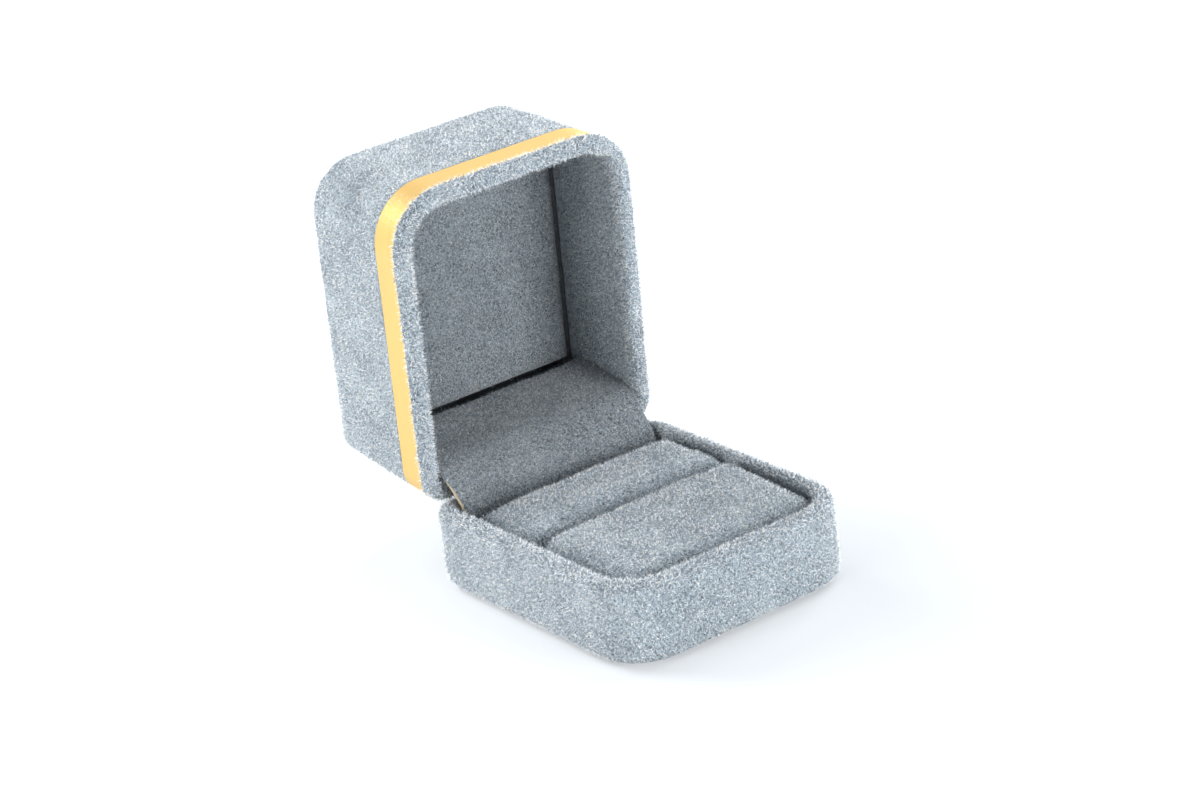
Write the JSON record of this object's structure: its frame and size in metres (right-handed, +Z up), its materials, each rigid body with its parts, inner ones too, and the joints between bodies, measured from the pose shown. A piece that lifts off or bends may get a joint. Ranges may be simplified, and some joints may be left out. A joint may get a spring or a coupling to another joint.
{
  "type": "ring box",
  "caption": "Open velvet-covered ring box with rounded corners: hinged lid with a gold band, two crowned pads with a ring slot between them.",
  "frame": {"origin": "centre of the base's underside, on the surface it stands on", "axes": "+X right-hand side seen from the front, -Y front, +Y hinge side, +Z up"},
  "size_m": [0.0524, 0.0907, 0.0761],
  "materials": {
    "shell_plastic": "matte",
    "velvet": "matte",
    "card": "matte",
    "foam": "matte",
    "steel": "satin",
    "gold_strip": "satin"
  },
  "bodies": {
    "base": {"base_shell": "shell_plastic", "base_wrap": "velvet", "base_sole_board": "card", "base_sole_velvet": "velvet", "pad_board": "card", "front_pad_foam": "foam", "front_pad_velvet": "velvet", "rear_pad_foam": "foam", "rear_pad_velvet": "velvet", "base_hinge_spacer": "foam", "base_hinge_leaf": "steel", "base_hinge_pin": "steel", "base_leaf_rivets": "steel", "base_snap_spring": "steel"},
    "link": {"hinge_link_plate": "steel", "hinge_cover_card": "card", "hinge_cover_velvet": "velvet"},
    "lid": {"lid_shell": "shell_plastic", "lid_wrap": "velvet", "trim_band": "gold_strip", "lid_side_lining": "velvet", "lid_panel_board": "card", "lid_panel_velvet": "velvet", "lid_panel_frame": "card", "lid_back_velvet": "velvet", "lid_back_card": "card", "lid_hinge_spacer": "foam", "lid_hinge_leaf": "steel", "lid_hinge_pin": "steel", "lid_leaf_rivets": "steel", "lid_snap_spring": "steel"}
  },
  "joints": [
    {"name": "link_swing", "type": "hinge", "parent": "base", "child": "link", "pos_m": [0, 0.027, 0.0106], "axis": [1, 0, 0], "range_deg": [0, 43]},
    {"name": "lid_swing", "type": "hinge", "parent": "link", "child": "lid", "pos_m": [0, 0.03437, 0.0185], "axis": [1, 0, 0], "range_deg": [0, 43]}
  ],
  "couplings": [
    {"joint": "lid_swing", "follows": "link_swing", "ratio": 1}
  ]
}
